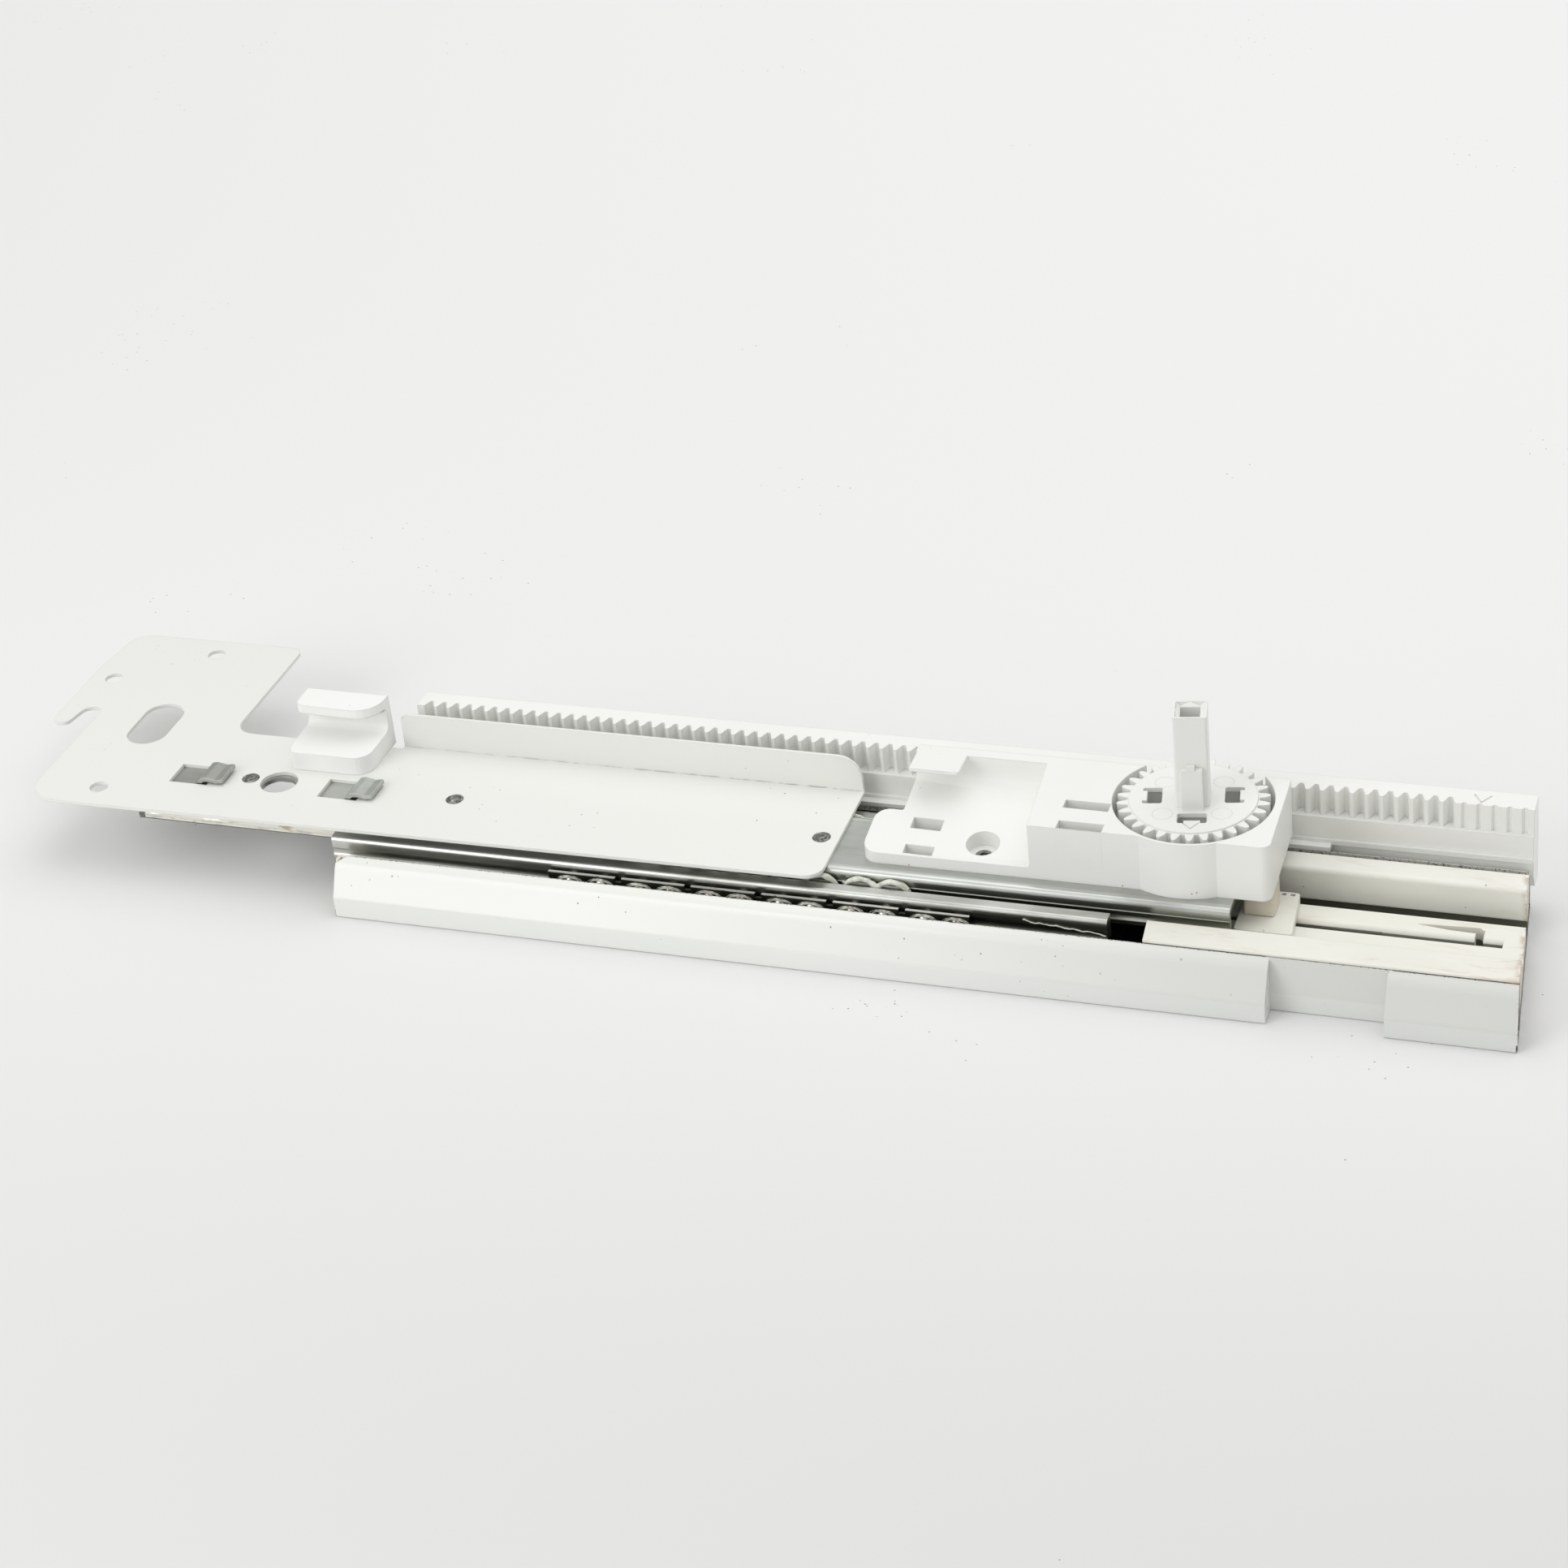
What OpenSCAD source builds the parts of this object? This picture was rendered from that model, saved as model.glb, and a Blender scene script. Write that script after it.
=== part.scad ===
// Telescoping drawer slide lying on its cabinet side, with a rack and pinion
// synchroniser and a self-closing latch unit.
// Origin: middle of the base's underside, on the rail centre line.
// +X runs along the slide towards its fixed rear end, +Y towards the rack, +Z up.

/* [Base] */
// Length of the fixed base
base_len = 390; // [370:1:410]
// Overall width of the base channel
base_w = 77; // [76.8:0.1:77.6]
// Height of the base channel's lips above its underside
lip_z = 19.1; // [18.9:0.1:19.2]
// Painted sheet thickness of the base channel
base_t = 1.6; // [1.2:0.1:1.7]
// Distance from the centre line to the edges of the channel's lips
lip_y = 30.2; // [29.9:0.1:30.5]

/* [Rails] */
// Length of the intermediate rail
mid_len = 266; // [250:1:268]
// Length of the drawer rail
drawer_len = 380; // [360:1:384]
// Top face of the drawer rail's web
web_z = 24.6; // [24.4:0.1:24.8]
// Sheet thickness of the steel rails
rail_t = 1.6; // [1.4:0.1:1.6]
// Radius of the outer balls
ball_r = 2.1; // [2:0.05:2.1]
// Radius of the inner balls
inner_ball_r = 2; // [1.9:0.05:2]

/* [Rack and pinion] */
// Gear module
gear_module = 1.5; // [1.5:0.5:1.5]
// Number of pinion teeth
pinion_teeth = 30; // [30:1:30]
// Pressure angle in degrees
pressure_angle = 20; // [20:1:20]
// Number of full rack gaps
rack_gaps = 75; // [70:1:75]
// Top of the rack
rack_top = 38.6; // [38:0.1:39]
// Height of the rack teeth
rack_tooth_h = 9.1; // [8.8:0.1:9.2]
// Side of the square drive post
post_side = 10.7; // [10:0.1:11]
// Top of the drive post
post_top = 77.4; // [70:0.1:80]

/* [Bracket] */
// Thickness of the drawer bracket plate
plate_t = 1.2; // [1:0.1:1.5]
// Top of the bracket's upstanding flange
bracket_top = 38.6; // [34:0.1:40]
// Radius of the bracket's three round holes
screw_hole_r = 3.2; // [2.8:0.1:3.4]

/* [Gear housing] */
// Top of the gear housing
housing_top = 44.5; // [44:0.1:44.6]
// Thickness of the housing's low tongue
tongue_t = 4; // [3.5:0.1:4.5]
// Radius of the well round the pinion
well_r = 25.5; // [25:0.1:25.6]

/* [Latch unit] */
// Top of the two long housings
unit_top = 20.1; // [20:0.1:20.4]
// Top of the latch track
track_z = 12; // [11:0.1:12]
// Thickness of the latch slider
slider_t = 3; // [2:0.1:3]

/* [Hidden] */
$fn = 48;
eps = 0.01;

base_x0 = -base_len / 2;
base_x1 = base_len / 2;
rear_x = base_x1 - 3.2;        // where the sheared rear end crosses the centre line
shear_angle = 6;               // the rear end is sheared this far off square
half_w = base_w / 2;
seat_z = base_t + rail_t;      // top of the cabinet rail's web, where the latch unit sits
unit_x0 = 79.8;                // front end of the latch unit
setback_x = [119.5, 155.8];    // stretch of the front wall that is pressed flat

outer_ball_y = 25.7;
outer_ball_z = 16;
inner_ball_y = 17.5;
inner_ball_z = 18.6;
ball_gap = 0.15;               // clearance between a ball and its race
ball_pitch = 24.1;             // one pair of balls to the next
pair_gap = 10.7;               // the two balls of a pair
outer_cage_x = [-120, 23];
inner_cage_x = [-95, 1];

mid_x0 = -199;
drawer_x0 = -276;
drawer_x1 = drawer_x0 + drawer_len;
drawer_half = 15.9;

pitch = PI * gear_module;
pitch_r = gear_module * pinion_teeth / 2;
tip_r = pitch_r + gear_module;
root_r = pitch_r - 1.25 * gear_module;
base_r = pitch_r * cos(pressure_angle);
rack_x0 = -186;                // centre of the first rack gap
rack_pitch_y = 36.72;
rack_tip_y = rack_pitch_y - gear_module;
rack_root_y = rack_pitch_y + 1.25 * gear_module;
rack_back_y = 44;
rack_x = [base_x0 + 4.5, base_x1 - 5.8];
pinion_x = 86.39;
pinion_y = rack_pitch_y - pitch_r;
pinion_z = [29.9, 45];
// A tooth of the pinion stands in the rack gap nearest to its centre
gap_x = rack_x0 + pitch * round((pinion_x - rack_x0) / pitch);
tooth_phase = 90 - (gap_x - pinion_x) / pitch_r * 180 / PI;
post_turn = 10.8;
spigot_r = 4;

plate_z = web_z + plate_t;

// ---- outline helpers ----

function unit(v) = v / norm(v);

// Points of one corner b between a and c, rounded to radius r
function corner(a, b, c, r, n) = r == 0 ? [b] :
    let (u = unit(a - b), v = unit(c - b), half = acos(u * v) / 2,
        centre = b + unit(u + v) * r / sin(half),
        p = b + u * r / tan(half) - centre, q = b + v * r / tan(half) - centre,
        a0 = atan2(p.y, p.x), turn = atan2(q.y, q.x) - a0,
        sweep = turn > 180 ? turn - 360 : turn < -180 ? turn + 360 : turn)
    [for (i = [0:n]) centre + r * [cos(a0 + sweep * i / n), sin(a0 + sweep * i / n)]];

// Closed outline from corners given as [x, y, radius]
function rounded(pts, n = 6) = let (m = len(pts))
    [for (i = [0:m - 1]) let (a = pts[(i + m - 1) % m], b = pts[i], c = pts[(i + 1) % m])
        each corner([a.x, a.y], [b.x, b.y], [c.x, c.y], b.z, n)];

function arc(c, r, a0, a1, n = 16) =
    [for (i = [0:n]) c + r * [cos(a0 + (a1 - a0) * i / n), sin(a0 + (a1 - a0) * i / n)]];

// A Y-Z section carried along X from x[0] to x[1]
module along_x(x) {
    translate([x[0], 0, 0]) rotate([90, 0, 90]) linear_extrude(height = x[1] - x[0]) children();
}

module both_sides() {
    children();
    mirror([0, 1, 0]) children();
}

// Box from its two opposite corners
module box(a, b) {
    translate(a) cube(b - a);
}

// Cuts everything behind the sheared line that crosses the centre line at x
module sheared_off(x) {
    difference() {
        children();
        translate([x, 0, -1]) rotate([0, 0, shear_angle]) translate([0, -60, 0]) cube([40, 120, 80]);
    }
}

module rounded_plate(pts, z0, z1) {
    translate([0, 0, z0]) linear_extrude(height = z1 - z0) polygon(rounded(pts));
}

// Part of a ring round a ball, the curled race of a rail
module race(y, z, r, t, a0, a1) {
    polygon(concat(arc([y, z], r, a0, a1), arc([y, z], r + t, a1, a0)));
}

// ---- fixed base ----

// Outside of the channel's flange from its foot: upright wall, wall leaning in, and rounded lip
function flange_outside(gap = 0) = let (
        foot = [half_w + gap, 0],
        bend = [half_w + gap, 7],
        shoulder = [half_w - 5.5 + gap, lip_z - 1.7 + gap],
        edge = [lip_y, lip_z + gap])
    concat([foot], corner(foot, bend, shoulder, 3, 6), corner(bend, shoulder, edge, 7, 8), [edge]);

module channel_wall() {
    inner_y = half_w - base_t;
    polygon(concat([[0, 0]], flange_outside(), [[lip_y, lip_z - 1.9]],
        corner([lip_y, lip_z - 1.9], [inner_y - 5.1, lip_z - 2.8], [inner_y, 6.6], 5.4, 8),
        [[inner_y, 6.6], [inner_y, base_t], [0, base_t]]));
}

module base_channel() color([0.9, 0.91, 0.87]) {
    flat_y = 30.9;
    sheared_off(rear_x) difference() {
        along_x([base_x0 + 1, base_x1 + 2]) both_sides_2d() channel_wall();
        box([setback_x[0], -half_w - 1, -1], [setback_x[1], -flat_y, lip_z + 1]);
        // Lip's corner cut off at the front end, and a chip out of the rear one
        translate([0, 0, 11]) linear_extrude(height = 10)
            polygon([[base_x0, -33.2], [base_x0 + 4.2, -30.6], [base_x0 + 5, -28], [base_x0, -28]]);
        translate([base_x1 - 2.6, -half_w, 0]) rotate([0, 35, 0]) box([0, -3, -6], [9, 3, 0]);
    }
    // Flat wall of the pressed-in stretch, and the webs that close the roll at its two ends
    flat_t = 1.3;
    box([setback_x[0] - eps, -flat_y, 0], [setback_x[1] + eps, flat_t - flat_y, lip_z]);
    for (x = [setback_x[0] - flat_t, setback_x[1]]) mirror([0, 1, 0]) along_x([x, x + flat_t])
        polygon(concat([[flat_y - flat_t, 0]], flange_outside(), [[flat_y - flat_t, lip_z]]));
}

module both_sides_2d() {
    children();
    mirror([1, 0]) children();
}

module cabinet_rail() color([0.66, 0.67, 0.66]) {
    wall_y = outer_ball_y + ball_r + ball_gap;
    race_r = ball_r + ball_gap;
    lip = 35;
    side = concat([[wall_y + 1.45, base_t], [wall_y + 1.45, outer_ball_z + race_r * sin(lip)]],
        arc([outer_ball_y, outer_ball_z], race_r, lip, -lip), [[wall_y, outer_ball_z - 3], [wall_y, seat_z]]);
    sheared_off(rear_x) along_x([base_x0, base_x1 + 2])
        polygon(concat(side, [for (i = [len(side) - 1:-1:0]) [-side[i].x, side[i].y]]));
}

// Front outline of the rack: full gaps, then shallow notches up to the rear end
function rack_front() = let (
        tip = pitch / 4 + gear_module * tan(pressure_angle) + 0.06,
        root = pitch / 4 - 1.25 * gear_module * tan(pressure_angle) + 0.06)
    concat([[rack_x[0], rack_tip_y, 0]],
        [for (i = [0:rack_gaps - 1]) let (x = rack_x0 + i * pitch)
            each [[x - tip, rack_tip_y, 0.2], [x - root, rack_root_y, 0.4],
                [x + root, rack_root_y, 0.4], [x + tip, rack_tip_y, 0.2]]],
        [for (i = [rack_gaps:rack_gaps + 4]) let (x = rack_x0 + i * pitch)
            each [[x - 1, rack_tip_y, 0], [x - 0.45, rack_tip_y + 0.9, 0],
                [x + 0.45, rack_tip_y + 0.9, 0], [x + 1, rack_tip_y, 0]]],
        [[rack_x[1], rack_tip_y, 0], [rack_x[1], rack_back_y, 0.5], [rack_x[0], rack_back_y, 0.5]]);

module rack() color([0.93, 0.93, 0.9]) {
    ledge_z = rack_top - rack_tooth_h;
    face_y = rack_tip_y - 1.4;
    skirt_y = 34.3;
    strip_z = [20.2, 21.9];
    foot_x = 126;
    difference() {
        union() {
            translate([0, 0, ledge_z]) linear_extrude(height = rack_tooth_h) polygon(rounded(rack_front(), 2));
            // Below the teeth: plain face, a rib along its foot, and a skirt over the channel's flange
            along_x(rack_x) difference() {
                union() {
                    translate([face_y, strip_z[0]]) square([rack_back_y - face_y, ledge_z - strip_z[0]]);
                    translate([face_y - 1.2, strip_z[0]]) square([2, strip_z[1] - strip_z[0]]);
                    translate([skirt_y, 9]) square([rack_back_y - skirt_y, strip_z[1] - 9]);
                }
                polygon(concat([[0, 0]], flange_outside(0.05), [[0, lip_z + 0.05]]));
            }
            box([rack_x[0], 29.8, lip_z + 0.2], [foot_x, skirt_y + 1, strip_z[0] + 0.7]);
        }
        // V shaped timing mark on the top face
        for (s = [-1, 1]) translate([172.4, rack_tip_y + 1.7, rack_top - 0.3])
            rotate([0, 0, s * 32]) box([-0.25, 0, 0], [0.25, 5.1, 1]);
    }
}

// ---- self-closing latch unit ----

// Long closed housing on a narrow foot, its front wall clear of the floor
module damper_housing() color([0.93, 0.91, 0.83]) {
    wall_z = 8.2;
    sheared_off(rear_x) along_x([unit_x0, base_x1]) polygon(rounded([[22, seat_z, 0], [27.3, seat_z, 0],
        [27.3, unit_top, 0.6], [18.4, unit_top, 1.6], [18.4, wall_z, 0.6], [22, wall_z, 0.6]]));
}

// Second housing, with a lip that lies over the channel's front flange
module spring_housing() color([0.93, 0.91, 0.83]) {
    cover_z = lip_z + 0.2;
    difference() {
        sheared_off(rear_x) along_x([unit_x0 - 2, base_x1 + 2]) polygon(rounded([[-18.4, seat_z, 0],
            [-27.3, seat_z, 0], [-27.3, cover_z, 0], [-30.1, cover_z, 0], [-30.1, unit_top, 0.3],
            [-18.4, unit_top, 1.2]]));
        translate([unit_x0 - 3.2, 0, 0]) rotate([0, 0, shear_angle]) box([-6, -40, 0], [0, 0, 30]);
    }
}

module latch_track() color([0.94, 0.92, 0.84]) {
    floor_z = [seat_z, 4.8];
    track_y = [1, 10.7];
    ledge_y = [-18.3, -2.5];
    slot_x = [unit_x0 + 12, 185.4];
    sheared_off(rear_x) difference() {
        union() {
            box([unit_x0, ledge_y[0], floor_z[0]], [base_x1, track_y[1], floor_z[1]]);
            along_x([unit_x0, base_x1]) polygon(rounded([[track_y[0], floor_z[1] - eps, 0],
                [track_y[1], floor_z[1] - eps, 0], [track_y[1], track_z, 1.2], [track_y[0], track_z, 2.4]]));
            box([unit_x0, ledge_y[0], floor_z[1] - eps], [base_x1, ledge_y[1], track_z]);
            box([slot_x[1], ledge_y[1] - eps, floor_z[1] - eps], [base_x1, track_y[0] + 3, track_z - eps]);
        }
        box([slot_x[0], ledge_y[1], 0], [slot_x[1], track_y[0], floor_z[1] + 1]);
        // Undercut below the track's front edge
        box([unit_x0 - 1, track_y[0] - 1, floor_z[1]], [148, 4, track_z - 1.5]);
        // Sprung finger that holds the slider, cut from the track's front edge
        translate([0, 0, floor_z[1] + 1]) linear_extrude(height = track_z)
            polygon(concat([[176.4, 0], [179, 0], [179, 5.8]],
                arc([176.8, 5.6], 1.4, 20, 90, 5), [[167, 6.4], [158, 5.8], [168, 4.4], [176.4, 4]]));
    }
}

module latch_slider() color([0.94, 0.92, 0.85]) {
    x = [104, 121];
    z = [track_z + 0.3, track_z + 0.3 + slider_t];
    difference() {
        union() {
            rounded_plate([[x[0], -12, 1], [x[1] + 1.4, -12, 1], [x[1] - 0.6, 10.9, 1.2], [x[0], 10.9, 1]],
                z[0], z[1]);
            box([x[0] + 2, -2.2, 6], [x[1] - 2, 0.7, z[0] + eps]);
        }
        for (hx = [114.8, 117.6]) box([hx, 9, z[0] - 1], [hx + 1.4, 10.2, z[1] + 1]);
    }
}

// ---- intermediate rail and ball cages ----

module intermediate_rail() color([0.6, 0.6, 0.6]) {
    along_x([mid_x0, mid_x0 + mid_len]) difference() {
        both_sides_2d() {
            translate([0, 4.4]) square([22.4, rail_t]);
            translate([20.8, 4.4]) square([rail_t, 9]);
            polygon(rounded([[19.2, 13, 1], [24, 11, 1], [24, 21.4, 1.4], [19.2, 21.4, 0.4]]));
        }
        both_sides_2d() {
            translate([outer_ball_y, outer_ball_z]) circle(r = ball_r + ball_gap);
            translate([inner_ball_y, inner_ball_z]) circle(r = inner_ball_r + ball_gap);
        }
    }
}

// Ball centres of one row, in pairs, counted back from the cage's rear end
function ball_rows(x, last) = [for (p = [0:floor((x[1] - x[0] - 8) / ball_pitch)])
    each [last - p * ball_pitch, last - p * ball_pitch - pair_gap]];

module balls(x, last, y, z, r) {
    both_sides() for (bx = ball_rows(x, last)) translate([bx, y, z]) sphere(r = r, $fn = 32);
}

// Stamped strip with a window for each ball and a notch between pairs
module cages(x, last, y, z, r, h) {
    both_sides() difference() {
        box([x[0], y - 0.5, z - h[0]], [x[1], y + 0.5, z + h[1]]);
        for (bx = ball_rows(x, last)) translate([bx, y - 1, z]) rotate([-90, 0, 0])
            cylinder(r = r + 0.12, h = 2);
        for (p = [1:floor((x[1] - x[0] - 8) / ball_pitch)])
            translate([last - p * ball_pitch + 6.2, y, z + h[1]]) cube([2.3, 3, 3], center = true);
    }
}

module outer_balls() color([0.75, 0.75, 0.75]) {
    balls(outer_cage_x, 18.7, outer_ball_y, outer_ball_z, ball_r);
}

module outer_ball_cages() color([0.55, 0.55, 0.53]) {
    cages(outer_cage_x, 18.7, outer_ball_y, outer_ball_z, ball_r, [3.4, 2.9]);
}

module inner_balls() color([0.75, 0.75, 0.75]) {
    balls(inner_cage_x, -4.6, inner_ball_y, inner_ball_z, inner_ball_r);
}

module inner_ball_cages() color([0.55, 0.55, 0.53]) {
    cages(inner_cage_x, -4.6, inner_ball_y, inner_ball_z, inner_ball_r, [2.9, 2.6]);
}

// ---- drawer rail and bracket ----

rivet_x = [-239.1, -163.1, -33.5];
window_x = [-267, -211];       // front ends of the bracket's two windows
window_y = [-7.4, 3.8];
access_hole = [-228, -1.3];

module drawer_rail() color([0.62, 0.63, 0.62]) {
    race_r = inner_ball_r + ball_gap;
    difference() {
        along_x([drawer_x0, drawer_x1]) difference() {
            both_sides_2d() {
                translate([0, web_z - rail_t]) square([drawer_half - 2, rail_t]);
                polygon(rounded([[drawer_half - 2.2, web_z, 0], [drawer_half, web_z, 2],
                    [drawer_half, 15.2, 0.5], [drawer_half - rail_t, 15.2, 0.5],
                    [drawer_half - rail_t, web_z - rail_t, 0.4], [drawer_half - 2.2, web_z - rail_t, 0]]));
                race(inner_ball_y, inner_ball_z, race_r, 1.4, 130, 230);
            }
            both_sides_2d() translate([inner_ball_y, inner_ball_z]) circle(r = race_r);
        }
        for (x = rivet_x) translate([x, -0.6, web_z - 3]) cylinder(r = 2, h = 6);
        translate([bore_xy.x, bore_xy.y, web_z - 3]) cylinder(r = 2.35, h = 6);
        translate([access_hole.x, access_hole.y - 1, web_z - 3]) cylinder(r = 6, h = 6);
        for (x = window_x) box([x + 13, window_y[0] + 0.4, web_z - 3], [x + 22, window_y[1] - 0.4, web_z + 1]);
    }
    for (x = window_x) lanced_hook(x);
}

// Hook lanced out of the web, bent up through the bracket's window and over it
module lanced_hook(x) {
    lo = web_z - rail_t;
    crest = plate_z + 2.5;
    t = 1.5;
    translate([x, window_y[1] - 0.5, 0]) rotate([90, 0, 0])
        linear_extrude(height = window_y[1] - window_y[0] - 0.9)
            polygon(rounded([[8, lo, 0], [10.2, lo, 2], [12.8, crest - t - 0.2, 1.2], [15, crest - t, 1],
                [17.6, crest - t - 0.5, 2], [20.4, crest - t, 0], [20.4, crest, 0.4], [17.6, crest - 0.6, 2],
                [14, crest + 0.1, 1.5], [12, crest - 0.3, 1.2], [9, web_z, 1.5], [8, web_z, 0]]));
}

module bracket_outline() {
    polygon(rounded([[-314, -25.8, 12], [-27, -23.2, 6], [-28, 29.8, 0], [-194, 29.8, 0], [-194, 26.7, 0],
        [-259, 26.7, 7], [-259, 84.8, 4], [-326, 84.8, 8], [-329, 60, 30], [-329, 22, 3],
        [-322.5, 22, 2.5], [-320.5, 33.6, 4], [-313.8, 33.6, 3]]));
}

module drawer_bracket() color([0.91, 0.92, 0.86]) {
    difference() {
        translate([0, 0, web_z]) linear_extrude(height = plate_t) difference() {
            bracket_outline();
            for (h = [[-320.1, 53.5], [-289.6, 75.5], [-290, -15.2]]) translate(h) circle(r = screw_hole_r);
            translate([-289.6, 26.8]) {
                for (s = [-1, 1]) translate([0, s * 6.1]) circle(r = 7.3);
                square([14.6, 12.2], center = true);
            }
            translate(access_hole) circle(r = 6.5);
            for (x = rivet_x) translate([x, -0.6]) circle(r = 3);
            for (x = window_x) translate([x, window_y[0]]) square([14.5, window_y[1] - window_y[0]]);
        }
        box([-194.2, 29.4, web_z - 1], [-20, 40, plate_z + 1]);
    }
    // Upstanding rear flange with its bend
    translate([0, 29.4, 0]) rotate([90, 0, 0]) linear_extrude(height = plate_t)
        polygon(rounded([[-193.9, web_z, 0], [-28.1, web_z, 0], [-28.6, bracket_top, 8],
            [-193.9, bracket_top, 2.5]]));
}

module bracket_rivets() color([0.3, 0.3, 0.3]) {
    for (x = rivet_x) translate([x, -0.6, 0]) {
        translate([0, 0, web_z]) cylinder(r = 2.95, h = plate_t - 0.1);
        translate([0, 0, web_z - rail_t - 0.8]) cylinder(r = 2, h = rail_t + 0.9);
        translate([0, 0, web_z - rail_t - 1.2]) cylinder(r = 3, h = 1.2);
    }
}

module guide_clip() color([0.9, 0.91, 0.89]) {
    x = [-228.5, -198.2];
    back_y = 30.2;
    slab_z = 32.6;
    top_z = 44.6;
    rounded_plate([[x[0] + 1.5, 7.4, 3], [x[1], 7.4, 6], [x[1], back_y, 0], [x[0], back_y, 0], [x[0], 12, 3]],
        plate_z, slab_z);
    rounded_plate([[x[0], 19, 3], [x[1], 18, 9], [x[1], back_y, 0], [x[0], back_y, 0]], top_z - 3.4, top_z);
    // Web behind the channel, with its rounded inner corners
    along_x(x) difference() {
        translate([24.2, slab_z - eps]) square([back_y - 24.2, top_z - slab_z - 3.4 + 2 * eps]);
        polygon(rounded([[20, slab_z, 0], [27.2, slab_z, 3], [27.2, top_z - 3.4, 2], [20, top_z - 3.4, 0]]));
    }
}

// ---- gear housing and pinion ----

tongue_z = web_z + tongue_t;
housing_x = [-17, 115.5];
housing_y = [-10.2, 31];
wing_x = -8.4;                 // left end of the housing's back wall
wall_y = 26.7;                 // front of that wall
step_x = 35.6;                 // where the low tongue ends, at the back wall
step_turn = 5;                 // the step runs this far off the Y axis
ramp_y = -6;                   // the tongue's top climbs from here to the back wall
ramp_angle = 10.8;
bore_xy = [21.1, -0.7];
bore_z = 25.6;

// The room above the tongue: ramped floor, filleted into the back wall and the step
module housing_hollow() {
    foot_z = tongue_z + tan(ramp_angle) * (wall_y - ramp_y);
    front = housing_y[0] - 1;
    intersection() {
        along_x([housing_x[0] - 1, step_x + 10]) polygon(rounded([[front, tongue_z, 0],
            [ramp_y, tongue_z, 4], [wall_y, foot_z, 7], [wall_y, housing_top + 1, 0],
            [front, housing_top + 1, 0]]));
        translate([step_x, wall_y, foot_z]) rotate([ramp_angle, 0, step_turn]) rotate([90, 0, 0])
            translate([0, 0, -10]) linear_extrude(height = 60)
                polygon(rounded([[-70, 0, 0], [0, 0, 2.6], [0, 40, 0], [-70, 40, 0]]));
    }
}

module housing_body() {
    difference() {
        rounded_plate([[housing_x[0], housing_y[0], 5], [housing_x[1], housing_y[0] + 1, 3],
            [housing_x[1] - 1.5, housing_y[1], 1], [wing_x, housing_y[1], 0.5], [wing_x, 10, 0.8],
            [housing_x[0], 10, 5]], web_z, housing_top);
        housing_hollow();
    }
    // Round bulge of the pinion's well in the front wall
    intersection() {
        translate([pinion_x, pinion_y, web_z]) cylinder(r = well_r + 1.1, h = housing_top - web_z, $fn = 96);
        box([step_x + 10, housing_y[0] - 6, web_z], [housing_x[1], pinion_y, housing_top]);
    }
    // Thin shelf that overhangs the tongue at the wall's left end
    rounded_plate([[wing_x + 0.6, 16.3, 0.8], [9, 16.3, 0.8], [9, wall_y + 1, 0], [wing_x + 0.6, wall_y + 1, 0]],
        housing_top - 1.2, housing_top);
}

module gear_housing() color([0.93, 0.93, 0.9]) {
    well_z = pinion_z[0] - 0.4;
    difference() {
        housing_body();
        translate([pinion_x, pinion_y, well_z]) cylinder(r = well_r, h = 30, $fn = 96);
        // Moulding recesses, two in the housing's top and two through the tongue
        box([47.2, 2.4, 31], [61.8, 6.9, 50]);
        box([48, -9.5, 31], [62.6, -5.1, 50]);
        box([-4, 2.5, 20], [6, 7.4, 40]);
        box([-3.3, -8.8, 20], [6.3, -4.9, 40]);
        translate([bore_xy.x, bore_xy.y, bore_z]) cylinder(r = 5.4, h = 10);
        translate([bore_xy.x, bore_xy.y, 20]) cylinder(r = 2.75, h = 20);
    }
    translate([pinion_x, pinion_y, well_z - eps]) cylinder(r = spigot_r, h = 6.5);
}

// Tubular rivet whose end shows at the bottom of the tongue's bore
module housing_rivet() color([0.35, 0.35, 0.35]) {
    translate([bore_xy.x, bore_xy.y, 0]) difference() {
        union() {
            translate([0, 0, web_z - rail_t - 1]) cylinder(r = 2.3, h = rail_t + 2);
            translate([0, 0, web_z + 0.1]) cylinder(r1 = 2.7, r2 = 2.2, h = 0.9);
            translate([0, 0, web_z - rail_t - 1.2]) cylinder(r = 4, h = 1.2);
        }
        translate([0, 0, web_z]) cylinder(r = 1.2, h = 3);
    }
}

module latch_catch() color([0.78, 0.7, 0.58]) {
    lo = track_z + slider_t + 0.6;
    rounded_plate([[105.4, -3.8, 1], [115.2, -3.8, 1], [115.2, 5.7, 1], [105.4, 5.7, 1]], lo, web_z);
}

// Half the angle that a tooth takes at radius r on an involute flank
function inv(a) = tan(a) * 180 / PI - a;
function half_tooth(r) = 90 / pinion_teeth + inv(pressure_angle) - inv(acos(min(1, base_r / r))) - 0.12;
function polar(r, a) = r * [cos(a), sin(a)];

function pinion_outline() = let (steps = 4, r0 = base_r + 0.05)
    [for (i = [0:pinion_teeth - 1]) let (mid = tooth_phase + i * 360 / pinion_teeth)
        each concat([polar(root_r, mid - half_tooth(r0) - 0.5)],
            [for (k = [0:steps]) let (r = r0 + (tip_r - r0) * k / steps) polar(r, mid - half_tooth(r))],
            [for (k = [steps:-1:0]) let (r = r0 + (tip_r - r0) * k / steps) polar(r, mid + half_tooth(r))],
            [polar(root_r, mid + half_tooth(r0) + 0.5)])];

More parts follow.
